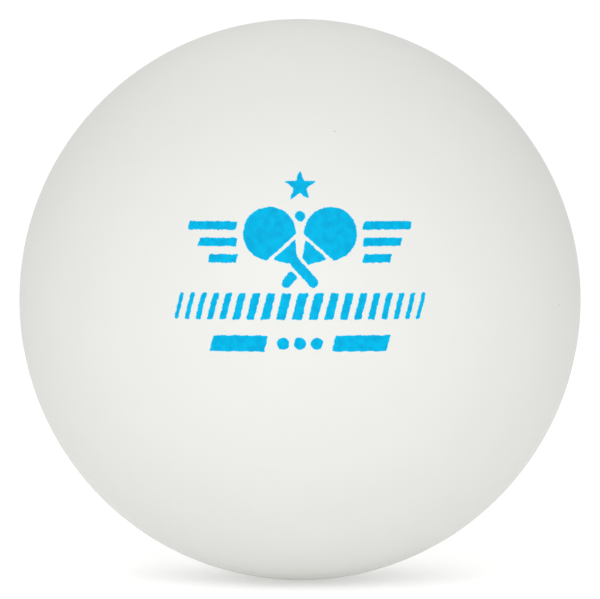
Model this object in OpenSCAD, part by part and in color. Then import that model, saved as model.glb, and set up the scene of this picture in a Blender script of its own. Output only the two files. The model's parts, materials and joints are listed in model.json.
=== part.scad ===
// Table tennis ball of the 40 mm class: two moulded half shells, cemented along a stepped seam,
// with a mark printed on the front in thin films of ink.
// The origin is the centre of the ball and +Z is up. The printed side faces -Y,
// and the seam lies in the plane y = 0.

/* [Ball] */
// Outside diameter of the ball
ball_d = 40.3; // [40:0.1:40.6]
// Wall thickness away from the seam
wall_t = 0.49; // [0.44:0.01:0.52]

/* [Seam joint] */
// How much the wall thickens inwards at the seam
rib_h = 0.25; // [0.15:0.05:0.4]
// How far the front shell's tongue reaches past the seam
tongue_l = 0.6; // [0.4:0.1:1]
// Thickness of the cement line
cement_t = 0.04; // [0.03:0.01:0.06]

/* [Print] */
// Thickness of the ink film
ink_t = 0.03; // [0.02:0.005:0.05]
// Lean of the slanted ends and blocks, in degrees from upright
slant = 14; // [0:1:20]

/* [Print: star] */
// Radius of the circle through the star's points
star_r = 1.2; // [0.8:0.05:1.3]
// Height of the star's centre above the middle of the ball
star_z = 8.45; // [8.3:0.05:10]

/* [Print: crossed bats] */
// Radius of a bat's blade
blade_r = 1.8; // [1.4:0.05:1.8]
// Width of a bat's handle
handle_w = 0.68; // [0.5:0.02:0.7]
// Lean of each bat from upright, in degrees
bat_lean = 42; // [40:1:46]
// Height at which the two handles cross
cross_z = 3; // [2.9:0.05:3.1]
// Unprinted line between neighbouring parts of the emblem
emblem_gap = 0.2; // [0.12:0.02:0.24]

/* [Print: side bars] */
// Number of bars on each side of the bats
side_bars = 3; // [1:1:3]
// Length of the longest side bar, at the top
side_bar_l = 3.3; // [2.6:0.1:4]
// How much shorter each bar is than the one above it
side_bar_step = 0.7; // [0:0.1:1]
// Height of a side bar
side_bar_h = 0.58; // [0.4:0.02:0.64]

/* [Print: band] */
// Length of the band of slanted blocks
band_l = 16.6; // [12:0.2:18]
// Height of the band
band_h = 1.8; // [1.2:0.1:1.8]
// Height of the band's middle above the middle of the ball
band_z = 0.4; // [0:0.05:0.4]
// Number of blocks on each side of the middle block
band_side_blocks = 9; // [3:1:10]
// Unprinted gap between two blocks
band_gap = 0.42; // [0.2:0.02:0.46]

/* [Print: foot line] */
// Length of each of the foot line's two bars
foot_bar_l = 3.7; // [2:0.1:5]
// Height of the foot line's bars
foot_bar_h = 1.1; // [0.5:0.05:1.6]
// Height of the foot line's middle above the middle of the ball
foot_z = -2.1; // [-4:0.1:-2]
// Number of dots between the two bars
foot_dots = 3; // [1:1:4]
// Radius of a dot
foot_dot_r = 0.42; // [0.2:0.02:0.5]

/* [Hidden] */

$fn = 180;

plastic = [0.93, 0.94, 0.90];
cement = [0.86, 0.84, 0.74];
ink = [0.09, 0.74, 0.92];

// Shells: radii are measured from the ball's centre, or from the seam's axis where the wall is round
ball_r = ball_d / 2;
cavity_r = ball_r - wall_t;
rib_r = cavity_r - rib_h;
// The step in the seam lies halfway through the thickened wall
step_r = (ball_r + rib_r) / 2;
tongue_r = step_r - cement_t / 2;
rebate_r = step_r + cement_t / 2;
rebate_l = tongue_l + cement_t;

// Emblem: a bat keeps its proportions, so its sizes are shares of its blade's radius, and places
// along it are measured from the point where the two handles cross
blade_reach = 1.7 * blade_r;
handle_end = 0.75 * blade_r;
// The blade's rubber stops this far below the blade's centre, where the bare wood of the neck starts
rubber_end = 0.78 * blade_r;
neck_top = blade_reach - rubber_end;
neck_w = 1.15 * blade_r;
// The handle widens into the neck from here
neck_start = 0.35 * blade_r;
// The little ball sits between the tops of the two blades
bat_ball_r = 0.2 * blade_r;
bat_ball_rise = 0.65 * blade_r;
bat_ball_z = cross_z + blade_reach * cos(bat_lean) + bat_ball_rise;

// Side bars: they start clear of the blades, and their middle bar is level with the emblem's middle
side_bar_clear = 2 * emblem_gap;
side_bar_x = blade_reach * sin(bat_lean) + blade_r + side_bar_clear;
side_bar_pitch = 1.9 * side_bar_h;
side_bar_rise = 0.95 * blade_r;
side_bar_z = cross_z + side_bar_rise;

// Band: each block is this fraction narrower at the band's ends than in its middle
band_fade = 0.6;
band_mid_w = (band_l - 2 * band_side_blocks * band_gap)
    / (2 * band_side_blocks + 1 - band_fade * (band_side_blocks + 1));

// Foot line: the bars start one pitch beyond the outermost dots
foot_dot_pitch = 2.7 * foot_dot_r;
foot_bar_x = (foot_dots + 1) / 2 * foot_dot_pitch;

function block_w(i) = band_mid_w * (1 - band_fade * i / band_side_blocks);
function block_x(i) = i == 0 ? 0 : block_x(i - 1) + (block_w(i - 1) + block_w(i)) / 2 + band_gap;

// Turns a shape made about Z so that its axis lies along Y and its +Z end faces +Y
module along_y() {
    rotate([-90, 0, 0]) children();
}

// The hollow of the ball, made about Z: the straight bore leaves the wall thicker near the seam
module hollow() {
    intersection() {
        sphere(r = cavity_r);
        cylinder(r = rib_r, h = ball_d, center = true);
    }
}

// The half of the hollow ball above the plane z = start, made about Z
module half_ball(start) {
    difference() {
        intersection() {
            sphere(r = ball_r);
            translate([0, 0, start]) cylinder(r = ball_d, h = ball_d);
        }
        hollow();
    }
}

// The moulded half that carries the print, with the thin tongue that centres it in the other half
module front_half_shell() {
    color(plastic) along_y() {
        mirror([0, 0, 1]) half_ball(cement_t / 2);
        difference() {
            translate([0, 0, -tongue_l]) cylinder(r = tongue_r, h = 2 * tongue_l);
            cylinder(r = rib_r, h = ball_d, center = true);
        }
    }
}

// The plain moulded half, with the rebate that takes the tongue
module rear_half_shell() {
    color(plastic) along_y() {
        difference() {
            half_ball(cement_t / 2);
            translate([0, 0, -rebate_l]) cylinder(r = rebate_r, h = 2 * rebate_l);
        }
    }
}

// The stepped ring of solvent cement between the two rims
module seam_cement() {
    color(cement) along_y() {
        intersection() {
            sphere(r = ball_r);
            rotate_extrude() {
                polygon([
                    [tongue_r, -cement_t / 2], [ball_d, -cement_t / 2],
                    [ball_d, cement_t / 2], [rebate_r, cement_t / 2],
                    [rebate_r, rebate_l], [rib_r, rebate_l],
                    [rib_r, tongue_l], [tongue_r, tongue_l]
                ]);
            }
        }
    }
}

// Lays a flat outline, drawn with X to the right and Y up, on the ball's front as a film of ink
module ink_film() {
    color(ink) intersection() {
        difference() {
            sphere(r = ball_r + ink_t);
            sphere(r = ball_r);
        }
        rotate([90, 0, 0]) linear_extrude(height = ball_d) children();
    }
}

// A bar or block centred on the origin whose two ends lean to the right
module leaning_block(w, h) {
    lean = h / 2 * tan(slant);
    polygon([
        [-w / 2 - lean, -h / 2], [w / 2 - lean, -h / 2],
        [w / 2 + lean, h / 2], [-w / 2 + lean, h / 2]
    ]);
}

// The outline of a whole upright bat whose handle passes through the origin, grown by some margin
module bat_outline(grow) {
    translate([0, blade_reach]) circle(r = blade_r + grow);
    translate([0, -handle_end]) circle(r = handle_w / 2 + grow);
    translate([-handle_w / 2 - grow, -handle_end])
        square([handle_w + 2 * grow, handle_end + blade_reach]);
    polygon([
        [-handle_w / 2 - grow, neck_start], [handle_w / 2 + grow, neck_start],
        [neck_w / 2 + grow, neck_top], [-neck_w / 2 - grow, neck_top]
    ]);
}

// A bat with a fine unprinted line where the rubber ends
module bat() {
    difference() {
        bat_outline(0);
        translate([-blade_r, neck_top]) square([2 * blade_r, emblem_gap]);
    }
}

// Leans an upright bat to one side: -1 is left, 1 is right
module leaning_bat(side) {
    translate([0, cross_z]) rotate(-side * bat_lean) children();
}

module print_star() {
    ink_film() translate([0, star_z]) {
        // The notches of a regular star lie on a circle this much smaller than its points
        notch_r = star_r * cos(72) / cos(36);
        polygon([
            for (i = [0:9])
                let (r = i % 2 == 0 ? star_r : notch_r)
                [r * sin(36 * i), r * cos(36 * i)]
        ]);
    }
}

module print_left_bat() {
    ink_film() leaning_bat(-1) bat();
}

// The right bat lies behind the left one, so the left bat's grown outline is left clear
module print_right_bat() {
    ink_film() difference() {
        leaning_bat(1) bat();
        leaning_bat(-1) bat_outline(emblem_gap);
    }
}

module print_bat_ball() {
    ink_film() translate([0, bat_ball_z]) circle(r = bat_ball_r);
}

// The side bars on one side of the emblem: -1 is left, 1 is right
module side_bar_set(side) {
    ink_film() for (i = [0:side_bars - 1]) {
        w = side_bar_l - i * side_bar_step;
        translate([side * (side_bar_x + w / 2), side_bar_z + (1 - i) * side_bar_pitch])
            leaning_block(w, side_bar_h);
    }
}

module print_left_bars() {
    side_bar_set(-1);
}

module print_right_bars() {
    side_bar_set(1);
}

module print_band() {
    ink_film() for (i = [-band_side_blocks:band_side_blocks]) {
        translate([sign(i) * block_x(abs(i)), band_z]) leaning_block(block_w(abs(i)), band_h);
    }
}

module print_foot_line() {
    ink_film() translate([0, foot_z]) {
        for (side = [-1, 1]) {
            translate([side * (foot_bar_x + foot_bar_l / 2), 0]) leaning_block(foot_bar_l, foot_bar_h);
        }
        for (i = [0:foot_dots - 1]) {
            translate([(i - (foot_dots - 1) / 2) * foot_dot_pitch, 0]) circle(r = foot_dot_r);
        }
    }
}

front_half_shell();
rear_half_shell();
seam_cement();
print_star();
print_left_bat();
print_right_bat();
print_bat_ball();
print_left_bars();
print_right_bars();
print_band();
print_foot_line();
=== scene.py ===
"""Looks of a white table tennis ball: two moulded half shells, the cement in their seam, and a printed mark.

Every length is in metres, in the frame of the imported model: the origin is the ball's centre, +Z is up,
the print faces -Y and the seam lies in the plane y = 0.
"""

import json
import math

import bpy
import numpy as np
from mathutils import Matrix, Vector


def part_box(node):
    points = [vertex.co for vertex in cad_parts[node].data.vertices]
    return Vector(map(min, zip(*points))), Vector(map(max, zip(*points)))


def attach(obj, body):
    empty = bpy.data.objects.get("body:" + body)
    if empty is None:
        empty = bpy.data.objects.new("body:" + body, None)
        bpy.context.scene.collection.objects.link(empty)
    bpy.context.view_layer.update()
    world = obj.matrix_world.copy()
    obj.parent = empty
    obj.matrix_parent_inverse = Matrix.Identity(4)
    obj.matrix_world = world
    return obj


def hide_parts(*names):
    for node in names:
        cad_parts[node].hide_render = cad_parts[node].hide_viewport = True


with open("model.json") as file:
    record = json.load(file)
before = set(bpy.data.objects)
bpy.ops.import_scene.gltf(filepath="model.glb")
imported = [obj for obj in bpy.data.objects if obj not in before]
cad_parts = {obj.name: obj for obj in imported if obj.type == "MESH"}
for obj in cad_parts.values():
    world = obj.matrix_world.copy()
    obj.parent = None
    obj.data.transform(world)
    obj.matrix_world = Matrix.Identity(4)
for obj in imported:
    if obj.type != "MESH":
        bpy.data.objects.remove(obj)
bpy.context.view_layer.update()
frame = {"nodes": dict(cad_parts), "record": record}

MM = 0.001

# Sizes of the two shells and their seam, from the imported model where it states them
BALL_R = next(m["dims"]["r_mm"] for m in frame["record"]["mounts"] if m["name"] == "ball_surface") * MM
WALL = 0.49 * MM
RIB = 0.25 * MM
CAVITY_R = BALL_R - WALL
RIB_R = CAVITY_R - RIB
BORE_HALF = math.sqrt(CAVITY_R**2 - RIB_R**2)
CEMENT_LOW, CEMENT_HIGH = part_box("seam_cement")
CEMENT = -2 * CEMENT_LOW.y
REBATE = CEMENT_HIGH.y
TONGUE = REBATE - CEMENT
STEP_R = (BALL_R + RIB_R) / 2

# Shape of the finished surface: the tumbled ball sinks a little at its seam, and each rim is rounded
SINK = 0.012 * MM
SINK_WIDTH = 1.1 * MM
RIM_FILLET = 0.05 * MM
CORNER = 0.03 * MM
WAVE = 0.0016 * MM
WAVE_LENGTHS = np.linspace(5, 14, 10) * MM

# Cement: it stays below the outside, and squeezes out into an uneven bead inside the ball
CEMENT_DIP = SINK + 0.02 * MM
BEAD_R = 0.09 * MM
BEAD_UNEVEN = 0.45
BEAD_LENGTHS = np.linspace(1.5, 9, 8) * MM

# Mesh of a shell: the crown's rings are an even step apart, and they crowd together down to the seam
SEGMENTS = 360
RING_STEP = 0.36 * MM
INSIDE_STEP = 0.576 * MM
CROWN_DEPTH = 2.5 * SINK_WIDTH
SEAM_RINGS = 24
FILLET_POINTS = 7
BEAD_POINTS = 9
SHARP_ANGLE = math.radians(40)

# Plastic: sizes of its faint clouds, of its fine grain, and of the specks scattered in it
CLOUD = 4.5 * MM
GRAIN = 0.19 * MM
SPECK_CELL = 4.2 * MM
SPECK_R = 0.075 * MM

# Distances from the seam at which its two marks start and are full: the thicker wall's yellower tint with
# painted shade, and the darker line in the groove
THICK_WALL_SHADE_FADE = (1.0 * MM, 0.5 * MM)
SEAM_LINE_FADE = (0.09 * MM, 0.03 * MM)

# Print: a thin film whose outline is softened and made ragged by the print plate's dot screen
FILM = 0.016 * MM
FILM_ROOT = 0.004 * MM
FILM_EDGE = 0.06 * MM
EDGE_SHARE = 0.15
SOFTENING = 5
SCREEN_PITCH = 0.13 * MM
SCREEN_ANGLE = math.radians(22.5)
SCREEN_RAGGED = 0.02 * MM
SCREEN_RELIEF = 0.07
BLEED = 0.022 * MM
BLEED_LENGTHS = np.linspace(0.16, 0.9, 12) * MM

# Mesh of a film: a grid of square cells, with a margin round the outline to find its edge in
GRID = 0.03 * MM
MARGIN = 0.25 * MM
LEAST_SLOPE = 0.3
WELD = 0.001 * MM

# Stage: the table top is square, and the tent's walls fade into its ceiling between two heights
LIGHT_DISTANCE = 0.6
TABLE_HALF = 0.3
WALL_TOP = math.sin(math.radians(7))
CEILING = math.sin(math.radians(20))
WHITE = (1, 1, 1, 1)


# ---------------------------------------------------------------- meshes

def make_piece(name, points, faces, material, nodes):
    """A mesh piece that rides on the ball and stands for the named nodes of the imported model."""
    mesh = bpy.data.meshes.new(name)
    mesh.from_pydata(points, [], faces)
    mesh.validate()
    mesh.shade_smooth()
    mesh.set_sharp_from_angle(angle=SHARP_ANGLE)
    mesh.materials.append(material)
    piece = bpy.data.objects.new(name, mesh)
    bpy.context.scene.collection.objects.link(piece)
    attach(piece, "root")
    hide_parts(*nodes)
    return piece


def waves(points, lengths, seed):
    """A smooth random field near -1 to 1 at each point: a sum of plane waves of the given lengths."""
    draw = np.random.default_rng(seed)
    total = np.zeros(len(points))
    for length in lengths:
        direction = draw.normal(size=points.shape[1])
        direction *= 2 * math.pi / (length * np.linalg.norm(direction))
        total += np.sin(points @ direction + draw.uniform(0, 2 * math.pi))
    return total / math.sqrt(len(lengths))


def turn(profile, closed):
    """Points and faces of a profile of (depth, radius) turned about Y. An open profile ends on the axis."""
    profile = np.asarray(profile)
    rings = profile if closed else profile[1:-1]
    angles = np.arange(SEGMENTS) * 2 * math.pi / SEGMENTS
    points = np.empty((len(rings), SEGMENTS, 3))
    points[..., 0] = rings[:, 1:] * np.cos(angles)
    points[..., 1] = rings[:, :1]
    points[..., 2] = rings[:, 1:] * np.sin(angles)
    points = points.reshape(-1, 3)
    index = np.arange(len(rings) * SEGMENTS).reshape(len(rings), SEGMENTS)
    ring_pairs = [(index[-1], index[0])] if closed else []
    ring_pairs += list(zip(index[:-1], index[1:]))
    faces = []
    for near, far in ring_pairs:
        faces += zip(near, np.roll(near, -1), np.roll(far, -1), far)
    if not closed:
        first, last = len(points), len(points) + 1
        points = np.vstack([points, [0, profile[0, 0], 0], [0, profile[-1, 0], 0]])
        faces += [(first, b, a) for a, b in zip(index[0], np.roll(index[0], -1))]
        faces += [(last, a, b) for a, b in zip(index[-1], np.roll(index[-1], -1))]
    return points, faces


def half_shell_profile(rim):
    """(depth, radius) points of a half shell, from its outside pole round its rim to its inside pole.

    Depth is measured from the seam plane towards the pole. rim lists the points between the two faces.
    """
    edge = CEMENT / 2 + RIM_FILLET
    crown_angle = math.acos(CROWN_DEPTH / BALL_R)
    crown = BALL_R * np.cos(np.linspace(0, crown_angle, round(crown_angle * BALL_R / RING_STEP)))
    depths = np.concatenate([crown, np.geomspace(CROWN_DEPTH, edge, SEAM_RINGS)[1:]])
    radii = np.sqrt(np.maximum(BALL_R**2 - depths**2, 0)) - SINK * np.exp(-((depths / SINK_WIDTH) ** 2))
    outer = list(zip(depths, radii))
    fillet_r = radii[-1] - RIM_FILLET
    fillet = [
        (edge - RIM_FILLET * math.sin(a), fillet_r + RIM_FILLET * math.cos(a))
        for a in np.linspace(0, math.pi / 2, FILLET_POINTS)[1:]
    ]
    bore_angle = math.acos(BORE_HALF / CAVITY_R)
    inner = [
        (CAVITY_R * math.cos(a), CAVITY_R * math.sin(a))
        for a in np.linspace(bore_angle, 0, round(bore_angle * CAVITY_R / INSIDE_STEP))
    ]
    return outer + fillet + rim + inner


def half_shell(name, side, rim, material, node, seed):
    """One moulded half: side is -1 for the front, whose pole faces -Y, and 1 for the rear."""
    points, faces = turn(half_shell_profile(rim), closed=False)
    radius = np.linalg.norm(points, axis=1)
    outside = radius > BALL_R - 2 * SINK
    flow = waves(points, WAVE_LENGTHS, seed)
    points[outside] *= (1 + WAVE * flow[outside] / radius[outside])[:, None]
    points[:, 1] *= side
    if side > 0:
        faces = [f[::-1] for f in faces]
    return make_piece(name, points, faces, material, [node])


def front_rim():
    """The tongue: out past the seam plane, across its end and back along the bore."""
    tongue_r = STEP_R - CEMENT / 2
    return [
        (CEMENT / 2, tongue_r), (CORNER - TONGUE, tongue_r), (-TONGUE, tongue_r - CORNER),
        (-TONGUE, RIB_R + CORNER), (CORNER - TONGUE, RIB_R), (0, RIB_R),
    ]


def rear_rim():
    """The rebate that takes the tongue."""
    rebate_r = STEP_R + CEMENT / 2
    return [(CEMENT / 2, rebate_r), (REBATE, rebate_r), (REBATE, RIB_R)]


def seam_cement(material):
    """The stepped ring of cement, with the uneven bead that squeezes out of the joint inside the ball."""
    tongue_r, rebate_r = STEP_R - CEMENT / 2, STEP_R + CEMENT / 2
    outside_r = BALL_R - CEMENT_DIP
    bead_y = REBATE - CEMENT / 2
    profile = [
        (-CEMENT / 2, tongue_r), (-CEMENT / 2, outside_r - CEMENT / 4), (0, outside_r),
        (CEMENT / 2, outside_r - CEMENT / 4), (CEMENT / 2, rebate_r), (REBATE, rebate_r),
        (REBATE, RIB_R),
    ]
    profile += [
        (bead_y + BEAD_R * math.cos(a), RIB_R - BEAD_R * math.sin(a))
        for a in np.linspace(0, math.pi, BEAD_POINTS)
    ]
    profile += [(TONGUE, RIB_R), (TONGUE, tongue_r)]
    points, faces = turn(profile, closed=True)
    radius = np.hypot(points[:, 0], points[:, 2])
    inside = radius < RIB_R
    uneven = 1 + BEAD_UNEVEN * waves(points, BEAD_LENGTHS, seed=5)
    shrink = (RIB_R - (RIB_R - radius) * uneven) / radius
    points[inside, 0] *= shrink[inside]
    points[inside, 2] *= shrink[inside]
    return make_piece("seam_cement_ring", points, faces, material, ["seam_cement"])


# ---------------------------------------------------------------- print

def outline(node):
    """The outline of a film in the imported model, as seen from the front.

    Each row is the start and the end of one edge, in x and z.
    """
    mesh = frame["nodes"][node].data
    mesh.calc_loop_triangles()
    points = np.array([v.co for v in mesh.vertices])
    radius = np.linalg.norm(points, axis=1)
    on_face = radius > (radius.min() + radius.max()) / 2
    places = [tuple(place) for place in np.round(points[:, [0, 2]] / WELD).astype(int)]
    edges = {}
    for triangle in mesh.loop_triangles:
        corners = list(triangle.vertices)
        if not on_face[corners].all():
            continue
        for a, b in zip(corners, corners[1:] + corners[:1]):
            pair = frozenset((places[a], places[b]))
            edges[pair] = None if pair in edges else (places[a], places[b])
    return np.array([edge for edge in edges.values() if edge is not None], float) * WELD


def inside_distance(points, edges):
    """How far each flat point lies inside the outline. It is negative outside."""
    nearest = np.full(len(points), np.inf)
    crossings = np.zeros(len(points), int)
    for (ax, az), (bx, bz) in edges:
        dx, dz = bx - ax, bz - az
        px, pz = points[:, 0] - ax, points[:, 1] - az
        along = np.clip((px * dx + pz * dz) / (dx * dx + dz * dz), 0, 1)
        nearest = np.minimum(nearest, np.hypot(px - along * dx, pz - along * dz))
        if dz != 0:
            level = (az > points[:, 1]) != (bz > points[:, 1])
            crossings += level & (px < dx * pz / dz)
    return np.where(crossings % 2 == 1, nearest, -nearest)


def screen(points):
    """The print plate's fine dot screen at each flat point, from -1 to 1."""
    turned_x = points[:, 0] * math.cos(SCREEN_ANGLE) + points[:, 1] * math.sin(SCREEN_ANGLE)
    turned_z = points[:, 1] * math.cos(SCREEN_ANGLE) - points[:, 0] * math.sin(SCREEN_ANGLE)
    step = 2 * math.pi / SCREEN_PITCH
    return np.sin(step * turned_x) * np.sin(step * turned_z)


def soften(field):
    """A grid of distances with its corners rounded off, as ink rounds off the corners of what it prints."""
    for _ in range(SOFTENING):
        for axis in (0, 1):
            field = (np.roll(field, 1, axis) + 2 * field + np.roll(field, -1, axis)) / 4
    return field


def ink_film(name, node, material, seed):
    """A thin film of ink on the ball, with a ragged edge and a dotted face from the plate's screen."""
    edges = outline(node)
    low = edges.min(axis=(0, 1)) - MARGIN
    high = edges.max(axis=(0, 1)) + MARGIN
    grid_x = np.arange(low[0], high[0], GRID)
    grid_z = np.arange(low[1], high[1], GRID)
    flat = np.stack(np.meshgrid(grid_x, grid_z), axis=-1)
    points = flat.reshape(-1, 2)
    ragged = SCREEN_RAGGED * screen(points) + BLEED * waves(points, BLEED_LENGTHS, seed)
    depth = soften(inside_distance(points, edges).reshape(flat.shape[:2])) + ragged.reshape(flat.shape[:2])

    # Keep the grid's cells whose middle is inked, and move the outermost corners on to the edge of the ink
    middle = (depth[:-1, :-1] + depth[1:, :-1] + depth[:-1, 1:] + depth[1:, 1:]) / 4
    inked = np.pad(middle > 0, 1)
    touching = [inked[:-1, :-1], inked[1:, :-1], inked[:-1, 1:], inked[1:, 1:]]
    used = np.any(touching, axis=0)
    edge = used & ~np.all(touching, axis=0)
    slope_z, slope_x = np.gradient(depth, GRID)
    steepness = np.maximum(slope_x**2 + slope_z**2, LEAST_SLOPE)
    shift = np.clip(depth / steepness, -GRID, GRID)
    flat[..., 0] -= np.where(edge, shift * slope_x, 0)
    flat[..., 1] -= np.where(edge, shift * slope_z, 0)
    depth = np.where(edge, 0, depth)

    # The film thins towards its edge, and its face keeps a trace of the screen
    cover = 1 - np.exp(-np.maximum(depth, 0) / FILM_EDGE)
    relief = 1 + SCREEN_RELIEF * screen(points).reshape(cover.shape)
    height = FILM * (EDGE_SHARE + (1 - EDGE_SHARE) * cover) * relief
    index = np.cumsum(used).reshape(used.shape) - 1
    count = int(used.sum())

    def lift(radius):
        x, z = flat[used].T
        return np.column_stack([x, -np.sqrt(radius**2 - x * x - z * z), z])

    points = np.vstack([lift(BALL_R + height[used]), lift(np.full(count, BALL_R - FILM_ROOT))])
    faces = []
    for row, column in np.argwhere(inked[1:-1, 1:-1]):
        a, b = index[row, column], index[row, column + 1]
        d, c = index[row + 1, column], index[row + 1, column + 1]
        faces += [(a, b, c, d), (a + count, d + count, c + count, b + count)]
        if not inked[row, column + 1]:
            faces.append((a, a + count, b + count, b))
        if not inked[row + 2, column + 1]:
            faces.append((c, c + count, d + count, d))
        if not inked[row + 1, column]:
            faces.append((d, d + count, a + count, a))
        if not inked[row + 1, column + 2]:
            faces.append((b, b + count, c + count, c))
    film = make_piece(name, points, faces, material, [node])
    attribute = film.data.attributes.new("cover", "FLOAT", "POINT")
    attribute.data.foreach_set("value", np.tile(cover[used], 2))
    return film


# ---------------------------------------------------------------- materials

class Shader:
    """A new material with one principled shader, and short ways to add nodes that feed it."""

    def __init__(self, name):
        self.material = bpy.data.materials.new(name)
        self.material.use_nodes = True
        self.nodes = self.material.node_tree.nodes
        self.inputs = self.nodes["Principled BSDF"].inputs
        self.place = self.add("ShaderNodeTexCoord").outputs["Object"]

    def add(self, kind, **sockets):
        """A node whose sockets are linked to the outputs, or set to the values, that are given by name."""
        node = self.nodes.new(kind)
        for name, value in sockets.items():
            self.feed(node.inputs[name.replace("_", " ")], value)
        return node

    def feed(self, socket, value):
        """Links the socket to an output, or sets it to a value."""
        if isinstance(value, bpy.types.NodeSocket):
            self.material.node_tree.links.new(value, socket)
        else:
            socket.default_value = value

    def noise(self, size, detail):
        """Cloudy noise from 0 to 1, whose blotches are about this size."""
        node = self.add("ShaderNodeTexNoise", Vector=self.place, Scale=1 / size, Detail=detail)
        return node.outputs["Fac"]

    def span(self, value, start, end, low=0.0, high=1.0):
        """low where the value is at start and high where it is at end, with a smooth change between them."""
        ends = {"From_Min": start, "From_Max": end, "To_Min": low, "To_Max": high}
        node = self.add("ShaderNodeMapRange", Value=value, **ends)
        node.interpolation_type = "SMOOTHSTEP"
        return node.outputs["Result"]

    def blend(self, share, first, second):
        """A colour that turns from the first to the second as the share goes from 0 to 1."""
        node = self.nodes.new("ShaderNodeMix")
        node.data_type = "RGBA"
        self.feed(node.inputs["Factor"], share)
        for name, colour in (("A", first), ("B", second)):
            self.feed(next(i for i in node.inputs if i.name == name and i.type == "RGBA"), colour)
        return next(o for o in node.outputs if o.type == "RGBA")

    def bump(self, height, depth, strength):
        """Makes the surface look raised where the height is near 1. depth is how far, in metres."""
        node = self.add("ShaderNodeBump", Height=height, Distance=depth, Strength=strength)
        self.feed(self.inputs["Normal"], node.outputs["Normal"])


def shell_plastic():
    """Tumbled white plastic: faintly cloudy, finely grained, with a few specks, painted shade along the
    seam, and a darker line in its groove.
    """
    look = Shader("tumbled_white_plastic")
    cool_white = (0.650, 0.658, 0.630, 1)
    warm_white = (0.668, 0.668, 0.642, 1)
    # The next colour is a yellower tint with painted shade, for the band along the seam where the wall is
    # thicker
    thick_wall_tint_and_shade = (0.640, 0.638, 0.600, 1)
    # The next colour draws a fine darker line right at the seam, in its groove
    seam_line_dark = (0.42, 0.40, 0.35, 1)
    dark_speck = (0.19, 0.18, 0.15, 1)
    plain = look.blend(look.noise(CLOUD, 3), cool_white, warm_white)

    # Along the seam, where the wall is thicker, the plastic is tinted yellower and darkened with painted
    # shade, and a fine darker line is drawn in the groove
    depth = look.nodes.new("ShaderNodeMath")
    depth.operation = "ABSOLUTE"
    look.feed(depth.inputs[0], look.add("ShaderNodeSeparateXYZ", Vector=look.place).outputs["Y"])
    seam_band_shade_share = look.span(depth.outputs[0], *THICK_WALL_SHADE_FADE, high=0.5)
    in_groove = look.span(depth.outputs[0], *SEAM_LINE_FADE, high=0.45)
    seam_band_shaded = look.blend(seam_band_shade_share, plain, thick_wall_tint_and_shade)
    grooved = look.blend(in_groove, seam_band_shaded, seam_line_dark)

    # Specks lie at scattered points of the plastic, and show where one happens to reach the surface
    scatter = look.add("ShaderNodeTexVoronoi", Vector=look.place, Scale=1 / SPECK_CELL).outputs["Distance"]
    speck_edge = SPECK_R / SPECK_CELL
    specks = look.span(scatter, speck_edge, speck_edge / 2, high=0.5)
    look.feed(look.inputs["Base Color"], look.blend(specks, grooved, dark_speck))

    grain = look.noise(GRAIN, 3)
    look.bump(grain, depth=0.02 * MM, strength=0.12)
    look.feed(look.inputs["Roughness"], look.span(grain, 0, 1, 0.50, 0.66))
    look.inputs["IOR"].default_value = 1.53
    look.inputs["Specular IOR Level"].default_value = 0.3
    return look.material


def cement():
    """Dried solvent cement: cloudy yellowish plastic, glossier than the shells."""
    look = Shader("dried_cement")
    deep = (0.50, 0.48, 0.40, 1)
    pale = (0.60, 0.58, 0.51, 1)
    flow = look.noise(1.1 * MM, 4)
    look.feed(look.inputs["Base Color"], look.blend(flow, deep, pale))
    look.feed(look.inputs["Roughness"], look.span(flow, 0, 1, 0.25, 0.45))
    look.bump(look.noise(0.25 * MM, 2), depth=0.01 * MM, strength=0.2)
    return look.material


def print_ink():
    """Pad-printed sky-blue ink: uneven in depth, and paler where the film thins out towards its edge."""
    look = Shader("sky_blue_ink")
    deep = (0.0, 0.320, 0.568, 1)
    pale = (0.0, 0.403, 0.663, 1)
    bare_edge = (0.02, 0.47, 0.74, 1)
    mottle = look.noise(0.5 * MM, 5)
    full = look.blend(look.span(mottle, 0.3, 0.7), deep, pale)
    cover = look.nodes.new("ShaderNodeAttribute")
    cover.attribute_name = "cover"
    thin = look.span(cover.outputs["Fac"], 0.7, 0.0)
    look.feed(look.inputs["Base Color"], look.blend(thin, full, bare_edge))
    look.feed(look.inputs["Roughness"], look.span(mottle, 0, 1, 0.45, 0.65))
    look.bump(look.noise(0.07 * MM, 2), depth=0.004 * MM, strength=0.3)
    look.inputs["Specular IOR Level"].default_value = 0.04
    return look.material


def floor_white():
    """A lit white table top with a trace of cloud in it."""
    look = Shader("white_table")
    dull = (0.86, 0.86, 0.86, 1)
    bright = (0.90, 0.90, 0.90, 1)
    cloud = look.noise(110 * MM, 4)
    look.feed(look.inputs["Base Color"], look.blend(cloud, dull, bright))
    look.feed(look.inputs["Roughness"], look.span(cloud, 0, 1, 0.65, 0.75))
    look.inputs["Specular IOR Level"].default_value = 0.2
    look.inputs["Emission Color"].default_value = WHITE
    look.inputs["Emission Strength"].default_value = 0.297
    return look.material


# ---------------------------------------------------------------- stage, light and camera

def outward(azimuth, elevation):
    """The direction to a place round the ball. Azimuth 0 is the print's side, and 90 is the right."""
    a, e = math.radians(azimuth), math.radians(elevation)
    return Vector((math.sin(a) * math.cos(e), -math.cos(a) * math.cos(e), math.sin(e)))


def place(name, data, direction, distance):
    """An object that looks at the ball's centre from a distance in some direction."""
    thing = bpy.data.objects.new(name, data)
    thing.location = direction * distance
    thing.rotation_euler = direction.to_track_quat("Z", "Y").to_euler()
    bpy.context.scene.collection.objects.link(thing)
    return thing


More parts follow.
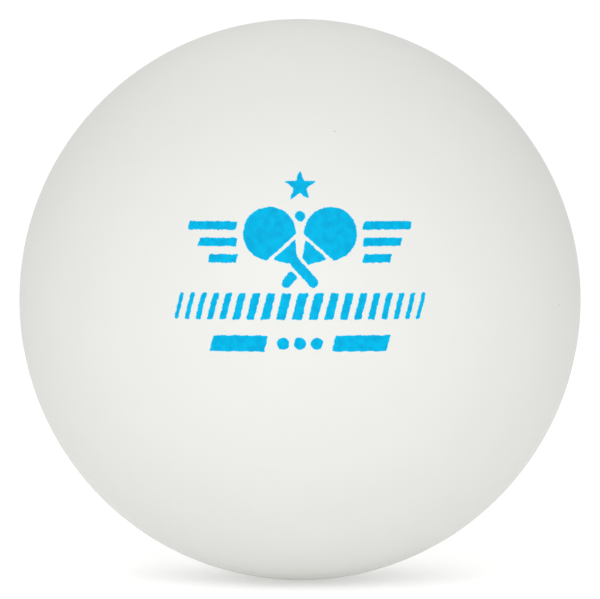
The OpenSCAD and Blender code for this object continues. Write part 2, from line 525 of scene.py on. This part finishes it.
def make_floor():
    """A white table top that touches the ball at its lowest point."""
    corners = [(x * TABLE_HALF, y * TABLE_HALF, -BALL_R) for x, y in ((-1, -1), (1, -1), (1, 1), (-1, 1))]
    mesh = bpy.data.meshes.new("floor")
    mesh.from_pydata(corners, [], [(0, 1, 2, 3)])
    mesh.materials.append(floor_white())
    floor = bpy.data.objects.new("floor", mesh)
    bpy.context.scene.collection.objects.link(floor)


def softbox(name, azimuth, elevation, size, power):
    """A square area light aimed at the ball, which the camera doesn't see."""
    light = bpy.data.lights.new(name, "AREA")
    light.shape = "SQUARE"
    light.size = size
    light.energy = power
    place(name, light, outward(azimuth, elevation), LIGHT_DISTANCE).visible_camera = False


def make_world(horizon, dome):
    """The surroundings of a light tent: white round the horizon, and another strength from above."""
    world = bpy.data.worlds.new("light_tent")
    world.use_nodes = True
    nodes, links = world.node_tree.nodes, world.node_tree.links
    height = nodes.new("ShaderNodeSeparateXYZ")
    strength = nodes.new("ShaderNodeMapRange")
    ends = {"From Min": WALL_TOP, "From Max": CEILING, "To Min": horizon, "To Max": dome}
    for name, value in ends.items():
        strength.inputs[name].default_value = value
    links.new(nodes.new("ShaderNodeTexCoord").outputs["Generated"], height.inputs["Vector"])
    links.new(height.outputs["Z"], strength.inputs["Value"])
    links.new(strength.outputs["Result"], nodes["Background"].inputs["Strength"])
    nodes["Background"].inputs["Color"].default_value = WHITE
    bpy.context.scene.world = world


def make_camera(elevation, frame_fill):
    """A long lens just above the table. The ball's outline fills the given share of the picture's width."""
    camera = bpy.data.cameras.new("camera")
    camera.lens = 250
    camera.sensor_width = 36
    half_view = math.atan(camera.sensor_width / 2 / camera.lens)
    distance = BALL_R / math.sin(math.atan(frame_fill * math.tan(half_view)))
    camera.clip_start = distance / 100
    bpy.context.scene.camera = place("camera", camera, outward(0, elevation), distance)


make_camera(elevation=2.5, frame_fill=0.9355)
make_world(horizon=1.02, dome=0.627)
softbox("front_softbox", azimuth=0, elevation=20, size=0.35, power=0.91)
softbox("high_softbox", azimuth=-8, elevation=38, size=0.35, power=0.77)
softbox("back_softbox", azimuth=180, elevation=55, size=0.5, power=0.66)
make_floor()

plastic = shell_plastic()
half_shell("front_shell", -1, front_rim(), plastic, "front_half_shell", seed=1)
half_shell("rear_shell", 1, rear_rim(), plastic, "rear_half_shell", seed=2)
seam_cement(cement())
ink = print_ink()
ink_nodes = sorted(name for name in frame["nodes"] if name.startswith("print_"))
for seed, node in enumerate(ink_nodes):
    ink_film(node.replace("print", "ink"), node, ink, seed)

bpy.context.scene.view_settings.view_transform = "Standard"
